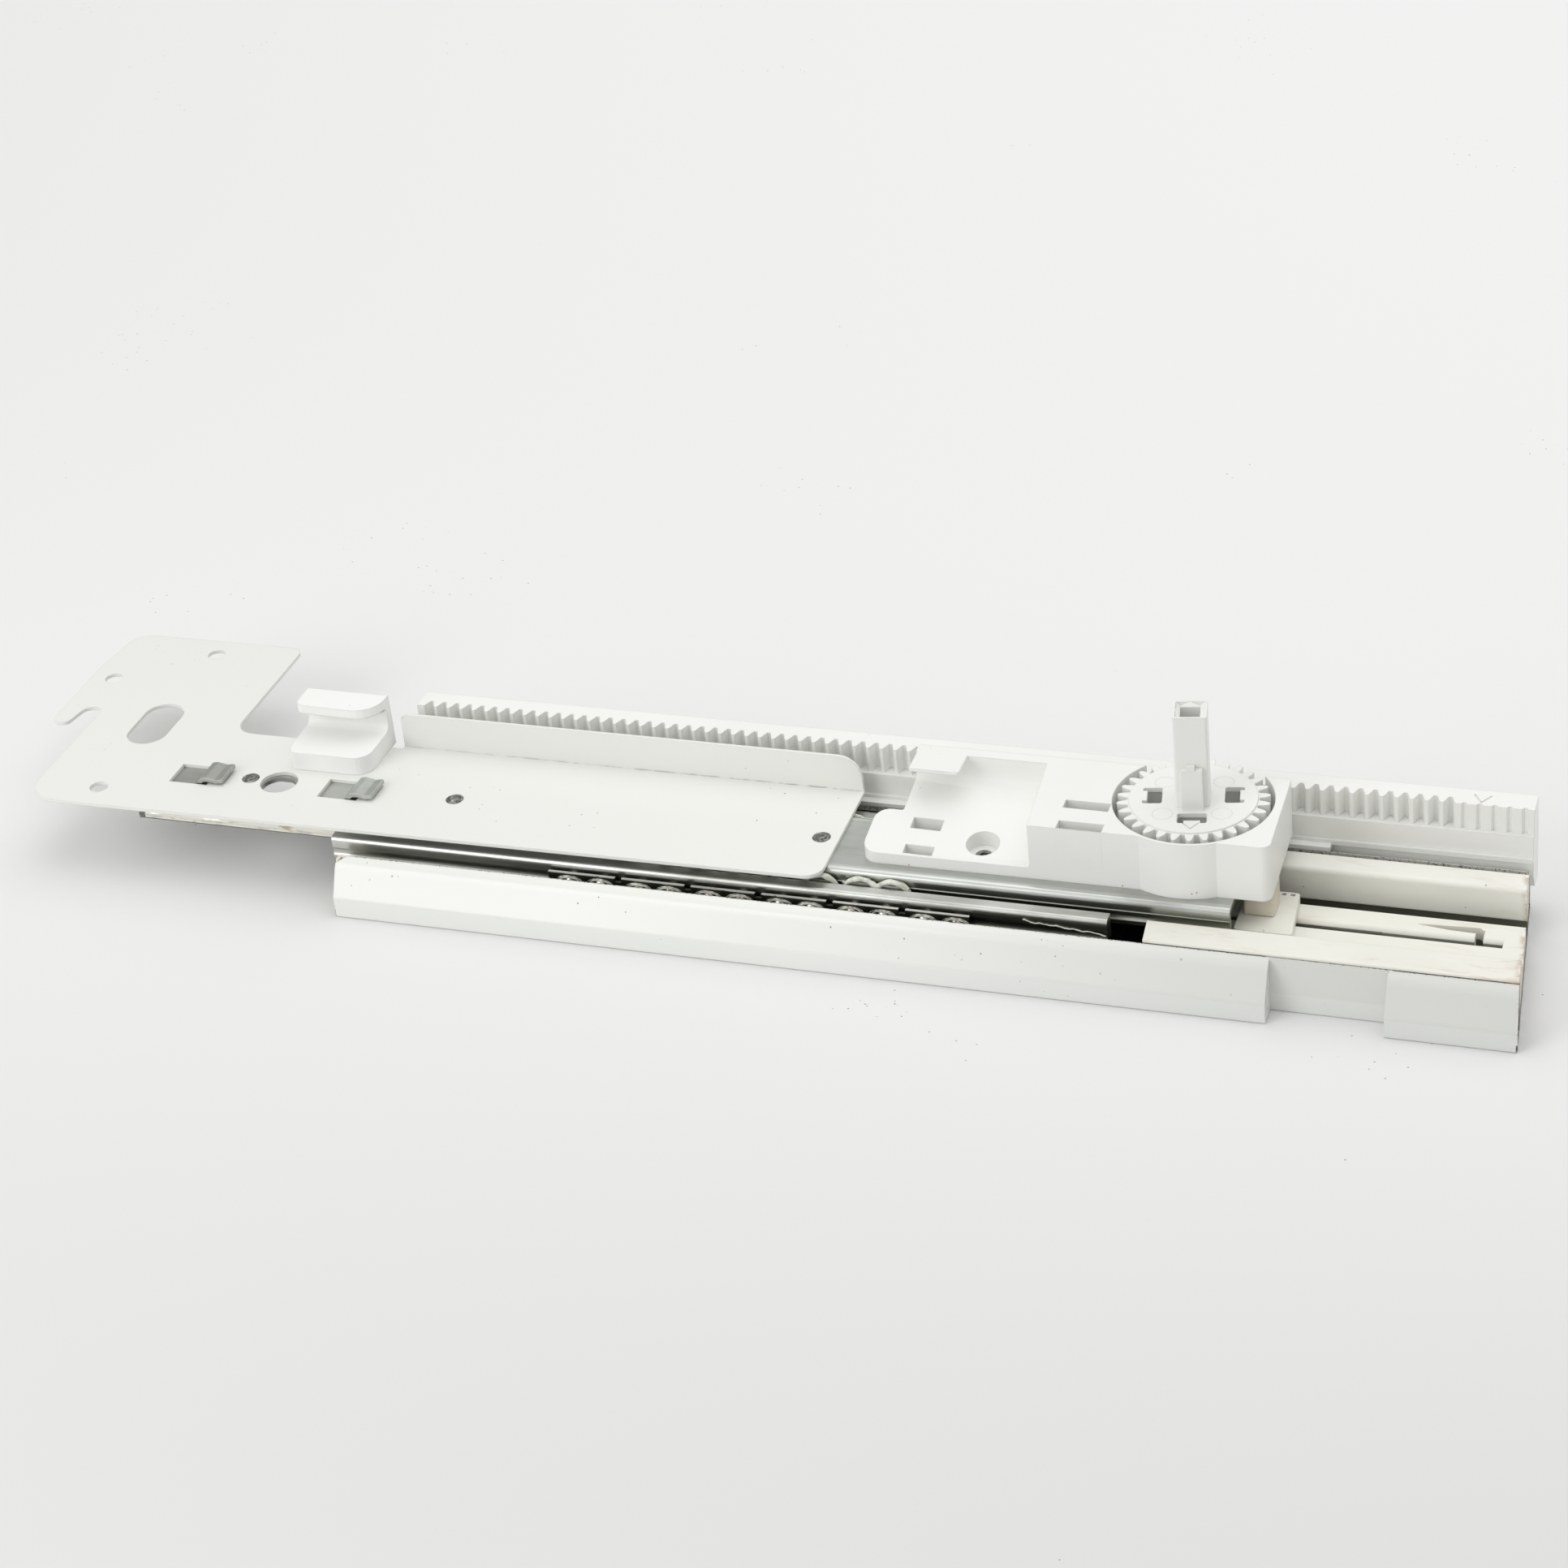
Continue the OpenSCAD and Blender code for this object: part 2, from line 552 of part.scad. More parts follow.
// Window through the pinion's web, wider below the web, with a tab at its outer end
module web_window(r, y, tab_y, web_under) {
    module opening(grow, z0, z1) {
        rounded_plate([[r[0] - grow, y[0] - grow, 0.8], [r[1] + grow, y[0] - grow, 0.8],
            [r[1] + grow, y[1] + grow, 0.8], [r[0] - grow, y[1] + grow, 0.8]], z0, z1);
    }
    opening(1.1, pinion_z[0] - 1, web_under);
    difference() {
        opening(0, web_under - eps, pinion_z[1] + 1);
        box([r[1] - 1.4, tab_y[0], 0], [r[1] + 1, tab_y[1], pinion_z[1] + 2]);
    }
}

module pinion() color([0.93, 0.93, 0.91]) {
    socket = 6.2;
    mouth = 9.1;
    bevel = 1.2;
    rim_z = pinion_z[1] - 0.4;
    web_under = pinion_z[1] - 1.7;
    half = post_side / 2;
    translate([pinion_x, pinion_y, 0]) difference() {
        union() {
            translate([0, 0, pinion_z[0]]) linear_extrude(height = rim_z - pinion_z[0]) polygon(pinion_outline());
            translate([0, 0, rim_z - eps]) cylinder(r = 20.2, h = pinion_z[1] - rim_z + eps, $fn = 96);
            rotate([0, 0, post_turn]) {
                rounded_plate([for (c = [[-1, -1], [1, -1], [1, 1], [-1, 1]]) [c.x * half, c.y * half, 0.8]],
                    pinion_z[1] - 1, post_top);
                // Snap lug up the post's front face, with its nub
                rounded_plate([[-3.5, -7.9, 0.4], [3.5, -7.9, 0.4], [3.5, 0, 0], [-3.5, 0, 0]],
                    pinion_z[1] - 1, 59.4);
                box([-1.6, -7.3, 59.3], [1.2, -5, 60.5]);
            }
        }
        rotate([0, 0, post_turn]) {
            box([-socket / 2, -socket / 2, 40], [socket / 2, socket / 2, post_top + 1]);
            for (a = [0:90:270]) rotate([90, 0, a]) translate([0, 0, -mouth / 2]) linear_extrude(height = mouth)
                polygon([[socket / 2 - 0.1, post_top - bevel], [mouth / 2, post_top + eps], [0, post_top + eps]]);
            web_window([9.8, 15.9], [-3, 6], [-1.3, 4.3], web_under);
            mirror([1, 0]) web_window([9.8, 15.9], [-3, 6], [-1.3, 4.3], web_under);
            for (a = [-90, 90]) rotate([0, 0, a]) web_window([9, 14.5], [-4.6, 4.6], [-2.6, 2.6], web_under);
            // Arrow mark on the web in front of the post
            for (s = [-1, 1]) translate([-0.3, -17.7, pinion_z[1] - 0.2]) rotate([0, 0, 90 - s * 38])
                box([0, -0.15, 0], [4, 0.15, 1]);
        }
        translate([0, 0, pinion_z[0] - 1]) cylinder(r = spigot_r + 0.06, h = 8);
    }
}

base_channel();
cabinet_rail();
rack();
damper_housing();
spring_housing();
latch_track();
latch_slider();
intermediate_rail();
outer_ball_cages();
outer_balls();
inner_ball_cages();
inner_balls();
drawer_rail();
drawer_bracket();
bracket_rivets();
guide_clip();
gear_housing();
housing_rivet();
latch_catch();
pinion();
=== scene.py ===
# A telescoping drawer slide on its side: a steel rail that runs on balls in a
# white painted channel, with a rack and pinion and a self-closing latch unit.
import math
import bpy
import bmesh
from mathutils import Matrix, Vector, noise


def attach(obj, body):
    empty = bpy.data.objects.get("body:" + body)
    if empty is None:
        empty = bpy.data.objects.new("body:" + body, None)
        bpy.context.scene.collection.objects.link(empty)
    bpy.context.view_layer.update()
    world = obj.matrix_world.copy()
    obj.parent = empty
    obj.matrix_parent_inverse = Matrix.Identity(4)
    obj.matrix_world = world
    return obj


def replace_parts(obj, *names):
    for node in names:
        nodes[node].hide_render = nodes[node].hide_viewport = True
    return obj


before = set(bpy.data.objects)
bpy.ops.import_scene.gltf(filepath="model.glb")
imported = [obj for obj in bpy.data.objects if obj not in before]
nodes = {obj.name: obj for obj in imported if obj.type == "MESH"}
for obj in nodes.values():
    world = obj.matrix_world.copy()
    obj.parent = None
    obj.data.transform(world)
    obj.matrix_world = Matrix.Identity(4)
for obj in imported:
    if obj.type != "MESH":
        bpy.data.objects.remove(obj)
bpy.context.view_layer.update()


# ----------------------------------------------------------------- camera ----
# A long lens in front of the slide's right half, looking down and to the left.
view = bpy.data.cameras.new("view")
view.lens = 83.16
view.sensor_width = 36.0
view.clip_start = 0.05
view.clip_end = 20.0
camera = bpy.data.objects.new("camera", view)
right = Vector((0.94368, 0.31734, -0.09362))
down = Vector((0.09325, -0.52659, -0.84499))
forward = Vector((-0.31745, 0.78867, -0.52652))
camera.matrix_world = Matrix.Translation((0.3250, -0.9185, 0.6577)) @ Matrix(
    (right, -down, -forward)).transposed().to_4x4()
bpy.context.scene.collection.objects.link(camera)
bpy.context.scene.camera = camera
bpy.context.scene.view_settings.view_transform = "Standard"


# ---------------------------------------------------- ground and lighting ----
# A pale grey studio table under one broad overhead light, a softer one from
# the left and a white room, so that the white parts keep soft, thin shadows.
class Value:
    """A socket of a node tree: maths on it adds the nodes."""

    def __init__(self, owner, socket):
        self.owner = owner
        self.socket = socket

    def maths(self, operation, first, second=0.0):
        return self.owner.add("ShaderNodeMath", {"operation": operation}, {0: first, 1: second})

    def __add__(self, other):
        return self.maths("ADD", self, other)

    def __radd__(self, other):
        return self.maths("ADD", other, self)

    def __sub__(self, other):
        return self.maths("SUBTRACT", self, other)

    def __rsub__(self, other):
        return self.maths("SUBTRACT", other, self)

    def __mul__(self, other):
        return self.maths("MULTIPLY", self, other)

    def __floordiv__(self, other):
        return self.maths("FLOOR", self.maths("DIVIDE", self, other))

    def __mod__(self, other):
        return self.maths("MODULO", self, other)

    def __gt__(self, other):
        return self.maths("GREATER_THAN", self, other)

    def __lt__(self, other):
        return self.maths("LESS_THAN", self, other)

    def __or__(self, other):
        return self.maths("MAXIMUM", self, other)

    def __abs__(self):
        return self.maths("ABSOLUTE", self)


class Tree:
    """Nodes of any kind, added one at a time with their settings and links."""

    def add(self, kind, settings, inputs, output=0):
        node = self.tree.nodes.new(kind)
        for key, value in settings.items():
            setattr(node, key, value)
        for key, value in inputs.items():
            if isinstance(value, Value):
                self.tree.links.new(value.socket, node.inputs[key])
            elif isinstance(value, tuple) and node.inputs[key].type == "RGBA":
                node.inputs[key].default_value = (*value, 1.0)
            else:
                node.inputs[key].default_value = value
        return Value(self, node.outputs[output])

    def ramp(self, value, low, high, start=0.0, end=1.0):
        return self.add("ShaderNodeMapRange", {"interpolation_type": "SMOOTHSTEP"},
                        {0: value, 1: low, 2: high, 3: start, 4: end})

    def split(self, vector):
        return [self.add("ShaderNodeSeparateXYZ", {}, {0: vector}, axis) for axis in "XYZ"]

    def point(self, x, y, z):
        return self.add("ShaderNodeCombineXYZ", {}, {0: x, 1: y, 2: z})


class Finish(Tree):
    """A material whose colour, roughness and relief are built from nodes."""

    def __init__(self, name):
        self.material = bpy.data.materials.new(name)
        self.material.use_nodes = True
        self.tree = self.material.node_tree
        self.tree.nodes.clear()
        self.output = self.tree.nodes.new("ShaderNodeOutputMaterial")

    def here(self):
        return self.add("ShaderNodeTexCoord", {}, {}, "Object")

    def place(self):
        return self.split(self.here())

    def noise(self, scale, detail=3.0, rough=0.5, distort=0.0):
        """Soft noise; scale is how many lumps there are to a metre along each axis."""
        stretched = self.add("ShaderNodeMapping", {}, {"Vector": self.here(), "Scale": scale})
        return self.add("ShaderNodeTexNoise", {}, {
            "Vector": stretched, "Scale": 1.0,
            "Detail": detail, "Roughness": rough, "Distortion": distort})

    def mix(self, factor, first, second):
        return self.add("ShaderNodeMix", {"data_type": "RGBA"},
                        {0: factor, 6: first, 7: second}, 2)

    def specks(self, pitch, size, seed=0.0):
        """Scattered specks of one radius, about one pitch apart."""
        moved = self.add("ShaderNodeMapping", {}, {
            "Vector": self.here(), "Location": (seed, seed * 0.7, seed * 1.3)})
        near = self.add("ShaderNodeTexVoronoi", {}, {
            "Vector": moved, "Scale": 1.0 / pitch, "Randomness": 1.0})
        return near < size / pitch

    def relief(self, height, distance, edge=0.0):
        """Bump of a height times a distance, with corners rounded by edge."""
        inputs = {"Height": height, "Distance": distance, "Strength": 1.0}
        if edge:
            inputs["Normal"] = self.add("ShaderNodeBevel", {"samples": 4}, {"Radius": edge})
        return self.add("ShaderNodeBump", {}, inputs)

    def surface(self, **inputs):
        named = {key.replace("_", " "): value for key, value in inputs.items()}
        shader = self.add("ShaderNodeBsdfPrincipled", {}, named)
        self.tree.links.new(shader.socket, self.output.inputs["Surface"])
        return self.material


def dress(node, material):
    """Gives a solid of the frame its finish."""
    for held in nodes[node].material_slots:
        held.material = material


# Painted light and shade on the table: it is lighter to the right and far off, and darker at its
# front, as the lamps fall off
table = Finish("pale_table")
haze = table.noise((1.2, 1.2, 1.2), 2.0)
x, y, z = table.place()
shade = table.mix(table.ramp(x, -0.9, 0.5), (0.78, 0.78, 0.775), (0.85, 0.85, 0.85))
shade = table.mix(table.ramp(y, -0.1, 1.2), shade, (0.9, 0.9, 0.9))
shade = table.mix(table.ramp(y, 0.06, -0.3) * 0.95, shade, (0.7, 0.7, 0.695))
shade = table.mix(table.ramp(y, -0.45, -0.95), shade, (0.5, 0.5, 0.495))
shade = table.mix(haze * 0.08, shade, (0.9, 0.9, 0.9))

# Crumbs lie here and there, and closer together in two short rows, one in
# front of the slide and one behind it
crumbs = table.specks(0.0045, 0.0003) * (table.noise((9.0, 9.0, 9.0), 2.0) > 0.62)
swept = ((abs(x + 0.003) < 0.014) * (abs(y + 0.0525) < 0.004)
         | (abs(x - 0.005) < 0.010) * (abs(y - 0.102) < 0.003))
swept = table.specks(0.0019, 0.00032, 2.0) * swept
swept = swept * (table.noise((160.0, 160.0, 160.0), 2.0) > 0.5)
shade = table.mix((crumbs | swept) * 0.8, shade, (0.33, 0.24, 0.19))
table.surface(Base_Color=shade, Roughness=0.75, Specular_IOR_Level=0.2)
ground_mesh = bpy.data.meshes.new("ground")
far = 8
corners = [(-far, -far, 0), (far, -far, 0), (far, far, 0), (-far, far, 0)]
ground_mesh.from_pydata(corners, [], [(0, 1, 2, 3)])
ground_mesh.materials.append(table.material)
ground = bpy.data.objects.new("ground", ground_mesh)
ground.location.z = -0.0002
bpy.context.scene.collection.objects.link(ground)

# White walls all round: brighter overhead, and low down behind the slide
room = bpy.data.worlds.new("white_room")
room.use_nodes = True
sky = Tree()
sky.tree = room.node_tree
way = sky.add("ShaderNodeTexCoord", {}, {}, "Generated")
x, y, z = sky.split(way)
walls = sky.ramp(y, -0.6, 0.2) * sky.ramp(z, 0.6, 0.0) * 0.3
ceiling = sky.ramp(z, 0.0, 0.8, 0.42, 0.7) + sky.ramp(z, 0.84, 0.96) * 0.4
background = sky.tree.nodes["Background"].inputs
sky.tree.links.new((ceiling + walls).socket, background["Strength"])
background["Color"].default_value = (1.0, 1.0, 0.99, 1.0)
bpy.context.scene.world = room


def soft_light(name, place, aim, size, power):
    lamp = bpy.data.lights.new(name, "AREA")
    lamp.shape = "RECTANGLE"
    lamp.size, lamp.size_y = size
    lamp.energy = power
    holder = bpy.data.objects.new(name, lamp)
    holder.location = place
    holder.rotation_mode = "QUATERNION"
    holder.rotation_quaternion = (Vector(aim) - Vector(place)).to_track_quat("-Z", "Y")
    bpy.context.scene.collection.objects.link(holder)


soft_light("overhead", place=(0.3, 0.7, 1.8), aim=(0.0, 0.0, 0.0),
           size=(2.4, 2.0), power=10.9)
soft_light("left_front", place=(-0.84, -1.0, 0.62), aim=(-0.15, 0.0, 0.0),
           size=(0.84, 1.0), power=7.1)


# ----------------------------------------------------------- base channel ----
# Pressed steel channel that is screwed to the cabinet. Sprayed gloss white
# after forming, then cropped to length, so its ends and lip edges are raw.
def sprayed(name, dusty):
    """White paint, with dust where a slow noise rises above the level dusty."""
    paint = Finish(name)
    x, y, z = paint.place()
    cloud = paint.noise((9.0, 9.0, 9.0), 3.0)
    shade = paint.mix(
        paint.ramp(cloud, 0.35, 0.65), (0.835, 0.845, 0.805), (0.86, 0.865, 0.83))
    dust = paint.specks(0.0038, 0.00028) | paint.specks(0.009, 0.00045, 3.1)
    drift = paint.noise((48.0, 48.0, 48.0), 2.0)
    dust = dust * (drift > dusty - paint.ramp(x, -0.15, 0.12) * 0.08)
    shade = paint.mix(dust * 0.85, shade, (0.1, 0.09, 0.08))
    peel = paint.noise((420.0, 420.0, 420.0), 2.0)
    return paint, shade, cloud, dust, peel, (x, y, z)


raw, shade, cloud, _, peel, (x, y, z) = sprayed("channel_paint", 0.56)
# Painted shade: the paint darkens towards the right end, away from the left lamp, and a little at
# the left end, to tone down that lamp
shade = raw.mix(raw.ramp(x, -0.05, 0.16) * 0.95, shade, (0.7, 0.71, 0.675))
shade = raw.mix(raw.ramp(x, -0.06, -0.2) * 0.6, shade, (0.78, 0.785, 0.75))
# Painted reflection: the foot below the crease is tinted a cooler grey, as if reflecting the table
shade = raw.mix(raw.ramp(z, 0.0068, 0.0058) * 0.3, shade, (0.83, 0.85, 0.86))

# Torn, bare steel on the sheared ends and along the rims of both lips. The
# rear end is cut at a slant, so its X falls as Y grows.
rear_cut, rear_slant, front_cut, lip_middle = 0.19155, 0.105, -0.1939, 0.0302
tear = raw.noise((900.0, 500.0, 900.0), 4.0, 0.7)
rear_end = x + y * rear_slant > rear_cut - tear * 0.0006
front_end = x < front_cut
lip_edge = (abs(abs(y) - lip_middle) < 0.0002) * (z > 0.0171 + tear * 0.002)
rear_lip = (y > 0.0299) * (y < 0.0311 + tear * 0.0014) * (z > 0.0176)
ends = rear_end | front_end
ends = ends * raw.ramp(tear + raw.ramp(z, 0.006, 0.001) * 0.15, 0.46, 0.52)
bare = (ends | lip_edge | rear_lip) * raw.ramp(tear, 0.3, 0.4)
foot = raw.ramp(z, 0.005, 0.001) * 0.12
metal_shade = raw.mix(
    raw.ramp(tear, 0.38 + foot, 0.47 + foot), (0.1, 0.095, 0.085), (0.84, 0.83, 0.79))
shade = raw.mix(bare, shade, metal_shade)

# The crease where the upright foot of the flange meets the leaning wall
crease_level = 0.0065
crease = raw.ramp(abs(z - crease_level), 0.0, 0.0005, 1.0, 0.0)
dress("base_channel", raw.surface(
    Base_Color=shade, Metallic=bare * 0.45, Roughness=0.15 + cloud * 0.06 + bare * 0.3, IOR=1.5,
    Normal=raw.relief(peel * 0.6 + tear * bare * 6.0 - crease, 0.00002, 0.0004)))

# Lump of torn metal and old grease that the shears left on the front corner
lump_centre = (-0.1938, -0.0300, 0.0166)
lump_radii = (0.0011, 0.0011, 0.0017)
lump_mesh = bpy.data.meshes.new("torn_lip")
shape = bmesh.new()
bmesh.ops.create_icosphere(shape, subdivisions=4, radius=1.0)
for vertex in shape.verts:
    spot = vertex.co.copy()
    swell = 1.0 + 0.35 * noise.noise(spot * 2.1) + 0.15 * noise.noise(spot * 6.3)
    vertex.co = [centre + along * radius * swell
                 for centre, along, radius in zip(lump_centre, spot, lump_radii)]
shape.to_mesh(lump_mesh)
shape.free()
caked = Finish("caked_cream")
crust = caked.noise((900.0, 900.0, 900.0), 3.0)
shade = caked.mix(caked.ramp(crust, 0.42, 0.62), (0.85, 0.81, 0.66), (0.55, 0.46, 0.3))
lump_mesh.materials.append(caked.surface(
    Base_Color=shade, Roughness=0.4 + crust * 0.2, Normal=caked.relief(crust, 0.0001)))
lump = bpy.data.objects.new("torn_lip", lump_mesh)
bpy.context.scene.collection.objects.link(lump)
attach(lump, "base")


# ------------------------------------------------------------ steel rails ----
# Roll-formed zinc plated strip. The drawing leaves faint lines along each
# rail, and old grease dulls the races.
def rail_steel(name, tone, grime):
    """Zinc with drawn lines, blotches of grime, spangle and dark scuffs."""
    steel = Finish(name)
    lines = steel.noise((5.0, 1500.0, 1500.0), 3.0, 0.6)
    blotch = steel.noise((22.0, 60.0, 60.0), 4.0, 0.6)
    spangle = steel.noise((260.0, 260.0, 260.0), 2.0)
    shade = steel.mix(steel.ramp(blotch, 0.42, 0.68), tone, grime)
    shade = steel.mix(steel.ramp(lines, 0.5, 0.75) * 0.25, shade, (0.78, 0.78, 0.75))
    scuff = steel.noise((60.0, 2600.0, 900.0), 2.0, 0.5, 0.4)
    shade = steel.mix(steel.ramp(scuff, 0.66, 0.72) * 0.35, shade, (0.2, 0.2, 0.18))
    dull = 0.2 + lines * 0.1 + blotch * 0.14 + spangle * 0.05
    return steel, shade, dull, lines + spangle * 0.4


# The cabinet rail's near-black tones are painted shade: it lies deep in the channel, under the
# other rails
for node, tone, grime in (("cabinet_rail", (0.16, 0.16, 0.13), (0.07, 0.07, 0.05)),
                          ("intermediate_rail", (0.64, 0.65, 0.62), (0.45, 0.46, 0.42)),
                          ("drawer_rail", (0.62, 0.635, 0.61), (0.44, 0.45, 0.42))):
    steel, shade, dull, grain = rail_steel(node + "_zinc", tone, grime)
    x, y, z = steel.place()
    if node == "drawer_rail":
        # Old varnish and paint mist on the free front end, below the plate,
        # and painted shade along its very end and lower rim
        mist = steel.ramp(steel.noise((90.0, 300.0, 300.0), 4.0, 0.7), 0.3, 0.5)
        front = steel.ramp(x, -0.19, -0.202) * (y < -0.0152)
        mist = mist * front
        stain = steel.ramp(steel.noise((120.0, 500.0, 500.0), 3.0, 0.7), 0.55, 0.7)
        shade = steel.mix(mist, shade, steel.mix(stain, (0.86, 0.84, 0.76), (0.5, 0.42, 0.3)))
        rim = (x < -0.2737) | (z < 0.0158)
        shade = steel.mix(front * rim * 0.85, shade, (0.07, 0.07, 0.06))
        dull = dull + mist * 0.25
        metal = 1.0 - mist * 0.8
        # Darker low on the flange's outside, over the ball race: dark grease there, and
        # painted shade under the flange. A darker strip runs along the middle of the web
        race = steel.ramp(z, 0.0236, 0.0212) * (y < -0.0145) * steel.ramp(x, -0.2, -0.18)
        shade = steel.mix(race * 0.75, shade, (0.27, 0.285, 0.235))
        shade = steel.mix((abs(y) < 0.0128) * 0.35, shade, (0.34, 0.35, 0.32))
    elif node == "intermediate_rail":
        # Darker low in the race: black grease, and painted shade under the flange; it thins
        # towards the front
        metal = 1.0
        race = steel.ramp(z, 0.0204, 0.0186) * steel.ramp(x, -0.15, -0.09, 0.15, 1.0)
        shade = steel.mix(race * 0.7, shade, (0.14, 0.145, 0.11))
    else:
        # Painted light: the front end, open to the room, is lighter; its very end still has spray
        # and old cream grease on it
        shade = steel.mix(steel.ramp(x, -0.08, -0.17) * 0.8, shade, (0.5, 0.5, 0.45))
        fresh = steel.ramp(x, -0.188, -0.193)
        shade = steel.mix(fresh, shade, (0.85, 0.82, 0.68))
        metal = 1.0 - fresh
    dress(node, steel.surface(Base_Color=shade, Metallic=metal, Roughness=dull,
                              Normal=steel.relief(grain, 0.00003, 0.0003)))


# ----------------------------------------------------------- balls, cages ----
# Hardened steel balls in stamped strips. Each pair of balls sits in pressed
# pockets whose bright lips stand round it, packed with pale green grease; in the outer rows that
# grease is partly a painted reflection of the channel's lip.
class Rule(Tree):
    """A shape that follows a rule: its sizes are named inputs of its tree."""

    def __init__(self, name):
        self.tree = bpy.data.node_groups.new(name, "GeometryNodeTree")
        self.tree.interface.new_socket(
            "Shape", in_out="OUTPUT", socket_type="NodeSocketGeometry")
        self.given = self.tree.nodes.new("NodeGroupInput")
        self.result = self.tree.nodes.new("NodeGroupOutput")
        self.sizes = {}

    def size(self, name, value):
        kind = "NodeSocketInt" if isinstance(value, int) else "NodeSocketFloat"
        socket = self.tree.interface.new_socket(name, in_out="INPUT", socket_type=kind)
        self.sizes[socket.identifier] = value
        return Value(self, self.given.outputs[name])

    def lumpy(self, shape, scale, depth):
        """Swells a surface along its normals by a noise."""
        here = self.add("GeometryNodeInputPosition", {}, {})
        lumps = self.add("ShaderNodeTexNoise", {}, {"Vector": here, "Scale": scale, "Detail": 2.0})
        normal = self.add("GeometryNodeInputNormal", {}, {})
        push = self.add("ShaderNodeVectorMath", {"operation": "SCALE"},
                        {0: normal, "Scale": (lumps - 0.5) * depth})
        return self.add("GeometryNodeSetPosition", {}, {"Geometry": shape, "Offset": push})

    def made(self, name, shape, material, body):
        """Realises the shape, gives it its finish and leaves a plain mesh."""
        shape = self.add("GeometryNodeRealizeInstances", {}, {0: shape})
        shape = self.add("GeometryNodeSetMaterial", {}, {"Geometry": shape, "Material": material})
        self.tree.links.new(shape.socket, self.result.inputs[0])
        piece = bpy.data.objects.new(name, bpy.data.meshes.new(name))
        bpy.context.scene.collection.objects.link(piece)
        modifier = piece.modifiers.new("rule", "NODES")
        modifier.node_group = self.tree
        for identifier, value in self.sizes.items():
            modifier[identifier] = value
        ready = piece.evaluated_get(bpy.context.evaluated_depsgraph_get())
        mesh = bpy.data.meshes.new_from_object(ready)
        piece.modifiers.remove(modifier)
        piece.data = mesh
        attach(piece, body)
        return piece


def pockets(name, body, material, balls, last, side, middle, arch, thick, lumps, depth):
    """An arch over each ball of both rows, pairs of balls one pitch apart."""
    rule = Rule(name)
    count = rule.size("Balls in a row", balls)
    pitch = rule.size("Pitch of the pairs", 0.0241)
    gap = rule.size("Gap in a pair", 0.0107)
    line = rule.add("GeometryNodeMeshLine", {}, {"Count": count * 2})
    index = rule.add("GeometryNodeInputIndex", {}, {})
    place = index % count
    pair = place // 2.0
    x = rule.size("Last ball", last) - pair * pitch - (place - pair * 2.0) * gap
    y = (1.0 - index // count * 2.0) * rule.size("Row from the middle", side)
    line = rule.add("GeometryNodeSetPosition", {}, {
        "Geometry": line, "Position": rule.point(x, y, rule.size("Height of the balls", middle))})
    hoop = rule.add("GeometryNodeCurveArc", {}, {
        "Resolution": 20, "Radius": 1.0,
        "Start Angle": math.radians(-8), "Sweep Angle": math.radians(196)})
    hoop = rule.add("GeometryNodeTransform", {}, {
        "Geometry": hoop, "Rotation": (math.radians(90), 0.0, 0.0),
        "Scale": rule.point(rule.size("Half length", arch[0]), rule.size("Height", arch[1]), 1.0)})
    wire = rule.add("GeometryNodeCurvePrimitiveCircle", {}, {
        "Resolution": 8, "Radius": rule.size("Thickness", thick)})
    hoop = rule.add("GeometryNodeCurveToMesh", {}, {
        "Curve": hoop, "Profile Curve": wire, "Fill Caps": True})
    hoop = rule.add("GeometryNodeInstanceOnPoints", {}, {"Points": line, "Instance": hoop})
    hoop = rule.add("GeometryNodeRealizeInstances", {}, {0: hoop})
    rule.made(name, rule.lumpy(hoop, lumps, depth), material, body)


greasy = Finish("greasy_ball")
film = greasy.noise((500.0, 500.0, 500.0), 3.0)
shade = greasy.mix(greasy.ramp(film, 0.45, 0.65), (0.7, 0.66, 0.62), (0.22, 0.16, 0.12))
dress("outer_balls", greasy.surface(
    Base_Color=shade, Metallic=1.0 - greasy.ramp(film, 0.52, 0.66) * 0.6,
    Roughness=0.1 + film * 0.2, Normal=greasy.relief(film, 0.00005)))
dress("inner_balls", greasy.material)

# The strips are black with grease and painted darker for the dark they reflect; their top edge is
# painted bright, a highlight
strip = Finish("cage_strip")
film = strip.noise((160.0, 260.0, 260.0), 4.0, 0.6)
x, y, z = strip.place()
edge = strip.ramp(z, 0.0186, 0.01875) * strip.ramp(film, 0.2, 0.4)
shade = strip.mix(edge, (0.07, 0.07, 0.055), (0.62, 0.63, 0.6))
cage_steel = strip.surface(
    Base_Color=shade, Metallic=0.9, Roughness=0.3 + film * 0.2,
    Normal=strip.relief(film, 0.00006, 0.0001))
dress("outer_ball_cages", cage_steel)
dress("inner_ball_cages", cage_steel)

lip = Finish("pocket_lip")
film = lip.noise((700.0, 700.0, 700.0), 3.0, 0.6)
shade = lip.mix(lip.ramp(film, 0.4, 0.6), (0.72, 0.74, 0.69), (0.25, 0.25, 0.2))
pocket_lip = lip.surface(Base_Color=shade, Metallic=0.7, Roughness=0.28 + film * 0.2)
grease = Finish("race_grease")
film = grease.noise((350.0, 350.0, 350.0), 3.0, 0.6)
shade = grease.mix(grease.ramp(film, 0.4, 0.65), (0.76, 0.78, 0.68), (0.5, 0.52, 0.42))
race_grease = grease.surface(
    Base_Color=shade, Roughness=0.22 + film * 0.2, IOR=1.45, Normal=grease.relief(film, 0.00008))

pockets("outer_pocket_lips", "outer_cages", pocket_lip, balls=12, last=0.0187, side=0.0269,
        middle=0.0161, arch=(0.0046, 0.0023), thick=0.00016, lumps=500.0, depth=0.0001)
